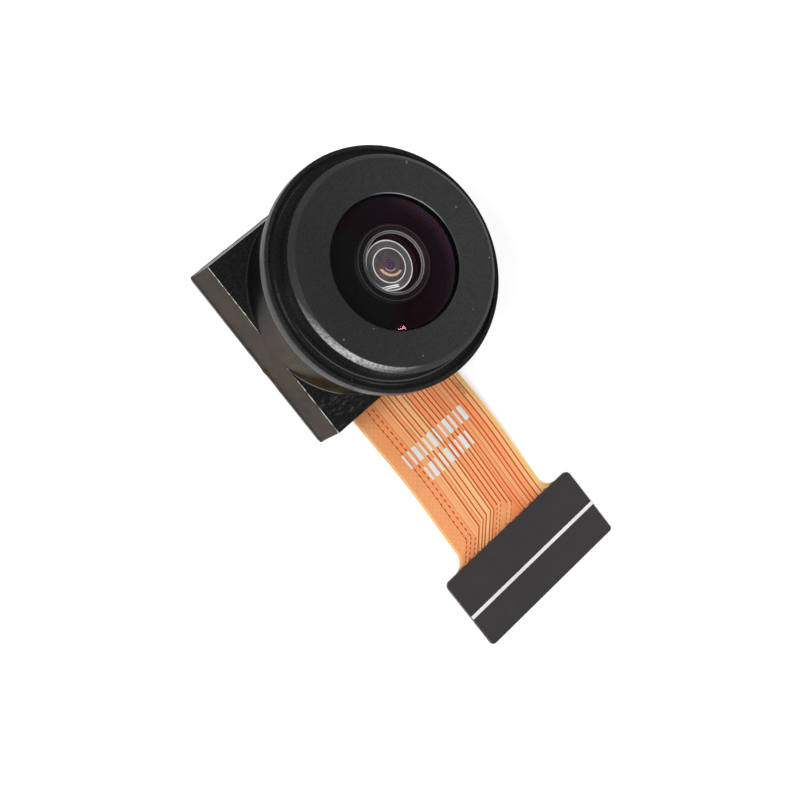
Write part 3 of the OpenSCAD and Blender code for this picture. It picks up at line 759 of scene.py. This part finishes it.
def square_reach(a, half, corner):
    """Distance from the axis, in direction a, to a square of half width half with round corners.

    In the first octant the side is half / cos a. Past the point where the corner starts, the
    reach solves |reach - centre of the corner| = corner.
    """
    b = from_side(a)
    side = half / np.cos(b)
    c = half - corner
    along = c * (np.cos(b) + np.sin(b))
    inside = np.maximum(corner ** 2 - 2 * c ** 2 + along ** 2, 0)
    return np.where(side * np.sin(b) > c, along + np.sqrt(inside), side)


def lens_holder():
    """Square base that leans in, with a round boss cut flat where it meets the four sides.

    Rows follow the wall's section from the underside, up the outside, down the bore and through
    the window and cavity; columns are directions round the axis, closer together at the corners.
    Each row is (reach, height). The ledge between base and boss narrows to nothing at the flats,
    and the radii of its edges shrink with it.
    """
    near = np.array([0, 0.06, 0.12, 0.18, 0.24, 0.30, 0.36, 0.43, 0.6, 1, 1.6, 2.4, 3.2])
    quarter = np.concatenate([near - 45, np.arange(-41, 42, 1.0), 45 - near[:0:-1]])
    a = np.radians((quarter[None] + 90 * np.arange(4)[:, None]).ravel())
    foot = square_reach(a, HOLDER_HALF, BASE_CORNER_R)
    top_half = HOLDER_HALF - DRAFT
    top = square_reach(a, top_half, BASE_CORNER_R)
    flat = top_half / np.cos(from_side(a))
    boss = np.minimum(BOSS_R, flat - 0.004)
    ledge = top - boss
    soft = np.clip(ledge / 0.5, 0, 1)
    edge = 0.09 * soft + 0.004
    fillet = 0.12 * soft + 0.001
    cavity = square_reach(a, CAVITY_HALF, CAVITY_CORNER_R)
    window = square_reach(a, WINDOW_HALF, 0.15)
    quarter_turn = np.linspace(0, math.pi / 2, 5)
    rows = [(cavity, HOLDER_Z), (foot - 0.05, HOLDER_Z), (foot, HOLDER_Z + 0.05)]
    rows += [(foot + (top - foot) * s, HOLDER_Z + (BASE_TOP_Z - HOLDER_Z) * s)
             for s in (0.05, 0.35, 0.65, 0.93)]
    rows += [(top, BASE_TOP_Z - edge - 0.008)]
    rows += [(top - edge * (1 - np.cos(t)), BASE_TOP_Z - edge * (1 - np.sin(t))) for t in quarter_turn]
    rows += [(top - edge - 0.04 * soft, BASE_TOP_Z), (boss + fillet + 0.04 * soft, BASE_TOP_Z)]
    rows += [(boss + fillet * (1 - np.sin(t)), BASE_TOP_Z + fillet * (1 - np.cos(t)))
             for t in quarter_turn]
    rows += [(boss, BASE_TOP_Z + fillet + 0.008)]
    rows += [(boss, BASE_TOP_Z + (BOSS_TOP_Z - BASE_TOP_Z) * s) for s in (0.06, 0.35, 0.65, 0.96)]
    rows += [(boss - 0.06 * (1 - np.cos(t)), BOSS_TOP_Z - 0.06 * (1 - np.sin(t)))
             for t in np.linspace(0, math.pi / 2, 4)]
    rows += [(BORE_R + 0.1, BOSS_TOP_Z), (BORE_R, BOSS_TOP_Z - 0.1), (BORE_R, WEB_HIGH_Z),
             (window, WEB_HIGH_Z), (window, WEB_LOW_Z), (cavity, WEB_LOW_Z)]
    return add_piece("holder", *section_rows(rows, a), holder_black, "lens_holder", "black_plastic")


def bond_bead():
    """Dark glue squeezed out round the base's foot: a square bead whose width and height waver.

    Its section goes out along the head's plate, up the film's edge, and back onto the base's wall.
    Across the neck it lies on the circuit instead. The waver is a sum of sines of the direction.
    """
    a = np.linspace(0, TURN, 720, endpoint=False)
    wave = 0.45 * np.sin(9 * a + 0.7) + 0.3 * np.sin(23 * a + 2.1) + 0.25 * np.sin(41 * a + 4.0)
    lump = np.exp(-((a - math.radians(187)) / 0.05) ** 2)
    foot = square_reach(a, HOLDER_HALF, BASE_CORNER_R)
    y = foot * np.sin(a)
    over_neck = (y < -HOLDER_HALF + 0.4) & (np.abs(foot * np.cos(a)) < NECK_HALF + 0.35)
    low_z = np.where(over_neck, HOLDER_Z - 0.05, HEAD_FILM_Z)
    out = foot + np.where(over_neck, 0.03, 0.05) + 0.015 * wave + 0.07 * lump
    rise = HOLDER_Z + 0.09 + 0.05 * wave + 0.08 * lump
    inner = square_reach(a, CAVITY_HALF, CAVITY_CORNER_R)
    rows = [(inner, HOLDER_Z - 0.05), (foot - 0.3, HOLDER_Z - 0.05), (foot - 0.02, low_z + 0.001),
            (out, low_z), (out + 0.012, low_z + 0.05), (out, HOLDER_Z), (foot + 0.02, rise - 0.02),
            (foot - 0.01, rise), (foot - 0.06, HOLDER_Z + 0.02), (inner, HOLDER_Z)]
    return add_piece("bond_bead", *section_rows(rows, a), bond_black, "holder_adhesive", "clear_glue")


# ------------ flexible circuit

SHOULDER_R = 1.0
TAIL_CORNER_R = 0.4
END_CORNER_R = 0.25
COPPER_MARGIN = 0.15
GAP_HALF = 0.045
HATCH_STEP = 0.46
DASH_STEP = 0.49
CUT_STEP = 0.24
# Gaps etched between the traces: place across the neck, distance before the tail at which each
# turns aside, how dark it looks through the film before and after the turn, and its kind before
# and after it (0 a plain line, 1 a row of dashes and dots, 2 a row of dashes, 3 a row of short cuts)
GAPS = np.array([
    (-2.95, 1.21, 1.00, 1.0, 1, 3), (-2.55, 1.18, 1.00, 1.0, 2, 3), (-2.25, 1.01, 0.12, 1.0, 0, 3),
    (-1.80, 1.29, 0.15, 0.0, 0, 0), (-1.60, 1.32, 1.00, 0.9, 0, 0), (-1.30, 1.43, 0.45, 0.0, 0, 0),
    (-1.05, 1.49, 0.95, 0.9, 0, 0), (-0.65, 1.56, 0.95, 0.9, 0, 0), (-0.20, 1.58, 0.95, 0.9, 0, 0),
    (0.05, 1.50, 1.00, 0.8, 0, 0), (0.45, 1.52, 1.00, 0.8, 0, 3), (0.80, 1.53, 0.95, 0.8, 0, 3),
    (1.15, 1.15, 1.00, 0.6, 0, 3), (1.45, 1.00, 0.95, 0.5, 0, 3), (1.70, 0, 0.35, 0.4, 0, 0),
    (1.90, 0, 0.90, 0.9, 0, 0), (2.25, 0, 0.40, 0.4, 0, 0), (2.60, 0, 0.85, 0.9, 0, 0),
    (2.90, 0, 0.95, 0.9, 0, 0), (3.35, 0, 1.00, 1, 0, 0), (3.75, 0, 0.95, 0.9, 0, 0),
])
# How light each of the 22 traces looks, from the left
TRACE_TINTS = np.array([0.45, 0.35, 0.3, 0.55, 0.75, 0.45, 0.95, 0.7, 0.9, 0.75, 0.3,
                        0.55, 0.35, 0.6, 0.2, 0.4, 0.3, 0.5, 0.35, 0.3, 0.75, 0.9])
# What each point of the circuit carries for its finish
TRACE_VALUES = ("away", "depth", "kind", "tint", "copper")


def film_height(y):
    """Height of the circuit's underside: level at head and tail, an eased drop with an arch between."""
    s = np.clip((HEAD_EDGE_Y - y) / (HEAD_EDGE_Y - SHOULDER_Y), 0, 1)
    drop = (FILM_TAIL_Z - HEAD_FILM_Z) * (1 - np.cos(math.pi * s)) / 2
    return HEAD_FILM_Z + drop + NECK_ARCH * (1 - np.cos(TURN * s)) / 2


def circuit_rows():
    """Stations y along neck and tail with the half width at each.

    The neck is straight, then widens on a quarter circle into the tail, whose corners are round.
    """
    neck = np.linspace(HEAD_EDGE_Y, SHOULDER_Y + SHOULDER_R, 120)
    t = np.linspace(0, math.pi / 2, 14)[1:]
    fillet_y = SHOULDER_Y + SHOULDER_R * (1 - np.sin(t))
    fillet = NECK_HALF + SHOULDER_R * (1 - np.cos(t))
    t = np.linspace(0, math.pi / 2, 7)
    corner_y = SHOULDER_Y - 0.0005 - TAIL_CORNER_R * (1 - np.cos(t))
    corner = TAIL_HALF - TAIL_CORNER_R * (1 - np.sin(t))
    tail_y = np.linspace(corner_y[-1], TAIL_END_Y + END_CORNER_R, 30)[1:-1]
    end_y = TAIL_END_Y + END_CORNER_R * (1 - np.sin(t))
    end = TAIL_HALF - END_CORNER_R * (1 - np.cos(t))
    y = np.concatenate([neck, fillet_y, corner_y, tail_y, end_y])
    half = np.concatenate([np.full(len(neck), NECK_HALF), fillet, corner,
                           np.full(len(tail_y), TAIL_HALF), end])
    return y, half


def circuit_columns(y, half):
    """Places across the circuit at each station, which follow every gap down the neck and tail.

    A gap runs straight, turns 45 degrees to the left a little before the tail, and then runs to its
    place between two contacts. Returns x for every station and column, and as many values of the
    distance from the nearest gap, how dark that gap is, its kind, the tint of the trace, and whether
    copper lies there.
    """
    place, bend, dark, dark_after, kind, kind_after = GAPS.T
    below = SHOULDER_Y + bend - y[:, None]
    run = np.clip(below, 0, bend)
    slots = np.concatenate([np.arange(1, 13), np.arange(15, 24)]) - 12
    fan_y = TAIL_END_Y + 3.6 - 0.15 + 0.3
    s = np.clip((SHOULDER_Y - y[:, None]) / (SHOULDER_Y - fan_y), 0, 1)
    line = (place - run) * (1 - s) + 0.5 * slots * s
    past = (below > 0) & (bend > 0)
    wide = np.where(past & (below < bend), math.sqrt(2), 1.0)
    darkness = np.where(past, dark_after, dark)
    kinds = np.where(past, kind_after, kind)
    lip, m = 0.015, COPPER_MARGIN
    steps = (-GAP_HALF - lip, -GAP_HALF + lip, 0, GAP_HALF - lip, GAP_HALF + lip)
    left, right = -half, half
    columns = []

    def column(x, distance, depth, sort, tint, copper):
        columns.append(np.stack(np.broadcast_arrays(x, distance, depth, sort, tint, copper + 0.0 * y)))

    column(left, 1, 0, 0, 1, 0)
    column(left + m - 0.02, 1, 0, 0, 1, 0)
    column(left + m + 0.02, 1, 0, 0, TRACE_TINTS[0], 1)
    for k in range(len(GAPS)):
        for n, step in enumerate(steps):
            column(line[:, k] + step * wide[:, k], abs(step), darkness[:, k], kinds[:, k],
                   TRACE_TINTS[k + (n > 1)], float(n in (0, 4)))
        if k + 1 < len(GAPS):
            column((line[:, k] + line[:, k + 1]) / 2, 0.15, 0, 0, TRACE_TINTS[k + 1], 1)
    column(right - m - 0.02, 1, 0, 0, TRACE_TINTS[-1], 1)
    column(right - m + 0.02, 1, 0, 0, 1, 0)
    column(right, 1, 0, 0, 1, 0)
    return np.stack(columns, axis=-1)


def head_frame(low_z, high_z, opening_x, opening_y):
    """Flat head of the circuit: a round-cornered square with a rectangular opening, as a closed loop.

    Columns are directions round the axis, rows go round the section: inner low, outer low, outer
    high, inner high. The reach of the opening is the nearer of opening_x / cos a and opening_y / sin a.
    """
    corner = np.degrees(np.arctan2(opening_y, opening_x))
    a = np.radians(np.concatenate([np.arange(-45, 315, 3.0), [corner, corner + 180]]))
    a = np.sort(np.concatenate([a, math.pi - a[-2:]]))
    outer = square_reach(a, HEAD_HALF, HEAD_CORNER_R)
    inner = np.minimum(opening_x / np.maximum(np.abs(np.cos(a)), TINY),
                       opening_y / np.maximum(np.abs(np.sin(a)), TINY))
    return section_rows([(inner, low_z), (outer, low_z), (outer, high_z), (inner, high_z)], a)


def circuit_layer(name, node, slot, finish, under, thick, relief, opening):
    """One layer of the circuit: neck and tail as a closed slab over the trace pattern, and the head.

    The slab's underside is `under` above the film's underside and it is `thick` high. Its outer face
    stands `relief` lower in each gap and margin: on top for the coverlay, underneath for the film.
    """
    y, half = circuit_rows()
    x, *looks, copper = circuit_columns(y, half)
    rows, columns = x.shape
    base = film_height(y)[:, None] + under
    sunk = (1 - copper) * abs(relief)
    upper = base + thick - (sunk if relief > 0 else 0)
    lower = base + (sunk if relief < 0 else 0) + 0 * x
    grid_y = y[:, None] + 0 * x
    top = np.stack([x, grid_y, upper + 0 * x], axis=-1).reshape(-1, 3)
    bottom = np.stack([x, grid_y, lower], axis=-1).reshape(-1, 3)
    count = rows * columns
    sheet = grid_faces(rows, columns, False, False)
    number = np.arange(count).reshape(rows, columns)
    rim = np.concatenate([number[0, :-1], number[:-1, -1], number[-1, :0:-1], number[:0:-1, 0]])
    following = np.roll(rim, -1)
    wall = np.stack([rim, following, following + count, rim + count], axis=-1)
    frame_points, frame_faces = head_frame(HEAD_FILM_Z + under, HEAD_FILM_Z + under + thick, *opening)
    points = np.vstack([top, bottom, frame_points])
    # y falls along the rows, so a quad in row and column order faces down
    faces = np.vstack([sheet[:, ::-1], sheet + count, wall, frame_faces + 2 * count])
    piece = add_piece(name, points, faces, finish, node, slot, smooth=False)
    for key, values, rest in zip(TRACE_VALUES, (*looks, copper), (1, 0, 0, 1, 0)):
        both = np.concatenate([values.ravel(), values.ravel(), np.full(len(frame_points), rest)])
        attribute = piece.data.attributes.new(key, "FLOAT", "POINT")
        attribute.data.foreach_set("value", both.astype(np.float32))
    return piece


def circuit_finish(name, light, dark, gap, bare, roughness):
    """Amber film over copper: traces of slightly different tints, dark gaps, rows of short cuts, a
    faintly hatched field at the left, and the clear margin without copper."""
    f = Finish(name)
    x, y, _ = f.split()
    away, depth, kind, tint, copper = (f.node("Attribute", attribute_name=key).outputs["Fac"]
                                       for key in TRACE_VALUES)
    cloud = f.noise(260, 4)
    grained = f.plus(tint, f.plus(f.spread(cloud, -0.12, 0.12), f.spread(f.noise(6000, 3), -0.08, 0.08)))
    colour = f.mix(f.math("ADD", grained, 0.0, clamp=True), dark, light)
    # Hatched field: two crossed sets of fine lines, at the left of the first gap
    rising, falling = (f.math("SINE", f.times(way, TURN / (HATCH_STEP * MM)))
                       for way in (f.plus(x, y), f.minus(x, y)))
    hatch = f.times(f.grade(f.most(rising, falling), 0.0, 1.0), f.spread(f.noise(900, 3), 0.4, 1))
    field = f.times(f.rise(x, -2.98, -3.02), f.rise(x, -4.02, -3.98))
    colour = f.mix(f.times(hatch, field, 0.15), colour, gap)
    # Gaps: plain lines, rows of dashes, and rows of dashes with a dot between them
    line = f.grade(away, 0.038, 0.058, 1, 0)
    in_dash, in_cut = (f.apart(f.math("FRACT", f.over(f.abs(y), step * MM)), 0.5)
                       for step in (DASH_STEP, CUT_STEP))
    dash = f.grade(in_dash, 0.22, 0.28, 1, 0.12)
    dot = f.grade(in_dash, 0.38, 0.43, 0, 0.8)
    chosen = f.mix(f.above(kind, 1.5), f.most(dash, dot), dash)
    chosen = f.mix(f.above(kind, 0.5), 1.0, chosen)
    chosen = f.mix(f.above(kind, 2.5), chosen, f.grade(in_cut, 0.2, 0.3, 1, 0.15))
    colour = f.mix(f.times(line, depth, chosen), colour, gap)
    # Margins without copper
    clear = f.times(f.spread(copper, 1, 0), f.above(away, 0.9))
    colour = f.mix(clear, colour, f.mix(f.above(x, 0.0), colour, bare))
    # A small brown stain near the right edge
    dx = f.times(f.minus(x, 3.55 * MM), 1.5)
    dy = f.times(f.plus(y, 10.2 * MM), 0.3)
    far = f.math("SQRT", f.along(dx, dy, dx, dy))
    ragged = f.plus(far, f.spread(f.noise(3000, 3), -0.12 * MM, 0.12 * MM))
    colour = f.mix(f.rise(ragged, 0.12, 0.3, 0.45, 0), colour, rgb(120, 70, 25))
    # Dark cut edge round the tail, and a dark ragged line where the circuit goes under its board
    upright = f.abs(f.split(f.node("NewGeometry").outputs["True Normal"])[2])
    cut = f.times(f.math("LESS_THAN", upright, 0.5), f.math("LESS_THAN", y, SHOULDER_Y * MM))
    ragged = f.plus(y, f.grade(f.noise(2600, 2, 0.5, (1, 0.1, 0.1)), 0.35, 0.65, -0.05 * MM, 0.05 * MM))
    cut = f.most(cut, f.rise(ragged, SHOULDER_Y + 0.02, SHOULDER_Y + 0.06, 0.75, 0))
    colour = f.mix(cut, colour, rgb(42, 35, 32))
    grain = f.noise(9000, 2)
    return f.surface(Base_Color=colour, Roughness=f.spread(grain, roughness * 0.9, roughness * 1.1),
                     Normal=f.bump(cloud, 0.15, 0.03), Specular_IOR_Level=0.35)


coverlay_finish = circuit_finish("amber_coverlay", rgb(255, 204, 140), rgb(255, 144, 88),
                                 rgb(196, 56, 14), rgb(255, 208, 112), 0.42)
film_finish = circuit_finish("amber_film", rgb(228, 150, 80), rgb(206, 122, 66),
                             rgb(130, 58, 20), rgb(226, 140, 52), 0.3)

front_ring()
lens_barrel()
front_element()
front_baffle()
second_element()
third_element()
lens_holder()
bond_bead()
circuit_layer("circuit_top", "coverlay", "amber_coverlay", coverlay_finish, 0.05, 0.05, 0.012, (5.0, 4.3))
circuit_layer("circuit_film", "flex_base_film", "amber_film", film_finish, 0.0, 0.05, -0.008, (0.5, 0.5))

# ------------ finishes of the CAD nodes

node_finishes = {
    "thread_glue": plain("black_glue", grey(28), 0.25),
    "back_plate": plain("steel_plate", grey(150), 0.35, Metallic=1.0),
    "stiffener_tape": plain("tape", rgb(190, 175, 140), 0.6),
    "copper_traces": plain("copper", rgb(225, 140, 90), 0.35, Metallic=1.0),
    "contact_fingers": plain("gold_contacts", rgb(235, 190, 90), 0.25, Metallic=1.0),
    "tail_stiffener": plain("tail_board", rgb(57, 52, 53), 0.6),
    "insertion_line": plain("white_ink", grey(250), 0.6),
    "ink_marks": plain("mark_ink", grey(245), 0.6),
    "solder_balls": plain("solder", grey(190), 0.3, Metallic=1.0),
    "image_sensor": plain("silicon", rgb(50, 52, 58), 0.2),
    "sensor_glass_dam": inner_black,
    "sensor_cover_glass": inner_glass,
    "ceramic_capacitors": plain("ceramic", rgb(150, 120, 85), 0.4),
    "ir_cut_filter": inner_glass,
    "filter_adhesive": plain("filter_glue", rgb(60, 60, 58), 0.4),
    "rear_pair_back": inner_glass,
    "rear_pair_front": inner_glass,
    "aperture_stop": inner_black,
    "stop_spacer": inner_black,
    "middle_spacer": inner_black,
    "front_seal": plain("seal_rubber", grey(20), 0.5),
}
for name, finish in node_finishes.items():
    mesh = frame["nodes"][name].data
    mesh.materials.clear()
    mesh.materials.append(finish)

# ------------ camera

AIM = Vector((-0.368, -8.299, 0.0)) * MM
DISTANCE = 133.34 * MM
AZIMUTH = math.radians(162.63)
ELEVATION = math.radians(64.6)
ROLL = math.radians(67.7)
FOCAL_MM = 88.65


def direction(azimuth, elevation):
    """The unit vector (cos e cos a, cos e sin a, sin e), from angles in radians."""
    return Vector((math.cos(azimuth) * math.cos(elevation), math.sin(azimuth) * math.cos(elevation),
                   math.sin(elevation)))


def camera():
    """Camera at a distance from the aim point, in a direction of azimuth and elevation, rolled."""
    back = direction(AZIMUTH, ELEVATION)
    level = Vector((0, 0, 1)).cross(back).normalized()
    right = level * math.cos(ROLL) + back.cross(level) * math.sin(ROLL)
    turn = Matrix((right, back.cross(right), back)).transposed().to_4x4()
    data = bpy.data.cameras.new("camera")
    data.lens = FOCAL_MM
    data.sensor_width = 36
    data.clip_start, data.clip_end = 0.001, 5
    eye = bpy.data.objects.new("camera", data)
    eye.matrix_world = Matrix.Translation(AIM + back * DISTANCE) @ turn
    bpy.context.scene.collection.objects.link(eye)
    bpy.context.scene.camera = eye


camera()

# ------------ floor, world and lamps


def floor():
    """White floor: a plain white for the camera, with the object's soft shadow kept on it."""
    f = Finish("white_floor")
    shade = f.mix(f.spread(f.noise(60, 2)), (0.8, 0.8, 0.8), (0.82, 0.82, 0.82))
    diffuse = f.node("BsdfDiffuse", Color=shade).outputs[0]
    x, y, _ = f.split()
    far = f.grade(from_axis(f, x, y), 0.08, 0.4, 0.55, 1.0)
    glow = f.node("Emission", Color=(1, 1, 1, 1), Strength=far).outputs[0]
    path = f.node("LightPath").outputs
    seen = f.most(path["Is Camera Ray"], f.most(path["Is Glossy Ray"], path["Is Transmission Ray"]))
    f.done(f.blend(seen, diffuse, f.node("AddShader", diffuse, glow).outputs[0]))
    half = 1.5
    mesh = bpy.data.meshes.new("floor")
    corners = [(-half, -half, 0), (half, -half, 0), (half, half, 0), (-half, half, 0)]
    mesh.from_pydata(corners, [], [(0, 1, 2, 3)])
    mesh.materials.append(f.material)
    plane = bpy.data.objects.new("floor", mesh)
    bpy.context.scene.collection.objects.link(plane)


def world():
    """White near the horizon and for the camera, grey overhead, as under a sweep of white paper.

    A soft glow lies low over the +X -Y side, outside a cone round the direction that the lens mirrors.
    """
    f = Finish("studio", bpy.data.worlds.new("studio"), "OutputWorld", "Generated")
    bpy.context.scene.world = f.material
    paper = f.ramp(f.split()[2], (0.18, (0.8, 0.8, 0.8)), (0.36, (0.14, 0.14, 0.145)))

    def lean(way, dark, bright):
        along = f.node("VectorMath", f.place, way, operation="DOT_PRODUCT").outputs["Value"]
        return f.grade(along, dark, bright)

    glow = f.times(lean((0.409, -0.128, 0.903), 0.86, 0.78), lean((0.766, -0.643, 0), 0.3, 0.55))
    sky = f.node("Background", f.mix(glow, paper, (0.4, 0.4, 0.4))).outputs[0]
    white = f.node("Background", (1, 1, 1, 1)).outputs[0]
    f.done(f.blend(f.node("LightPath").outputs["Is Camera Ray"], sky, white))


def lamp(name, azimuth, elevation, distance, width, height, power):
    """Rectangular area lamp that faces the lens, placed by direction in degrees and distance."""
    data = bpy.data.lights.new(name, "AREA")
    data.energy = power
    data.shape = "RECTANGLE"
    data.size, data.size_y = width, height
    back = direction(math.radians(azimuth), math.radians(elevation))
    made = bpy.data.objects.new(name, data)
    turn = back.to_track_quat("Z", "Y").to_matrix().to_4x4()
    made.matrix_world = Matrix.Translation(back * distance) @ turn
    bpy.context.scene.collection.objects.link(made)


floor()
world()
lamp("key_lamp", 160, 44, 0.7, 0.3, 0.3, 3.35)
lamp("rear_lamp", 82, 26, 0.7, 0.3, 0.16, 1.2)
lamp("front_lamp", 246, 26, 0.7, 0.3, 0.16, 0.8)
lamp("low_strip", 238, 12, 0.6, 0.42, 0.06, 1.6)
lamp("side_strip", 188, 9, 0.6, 0.3, 0.03, 0.3)
lamp("spot_lamp", 269, 53.6, 0.7, 0.19, 0.05, 0.4)
bpy.context.scene.view_settings.view_transform = "Standard"
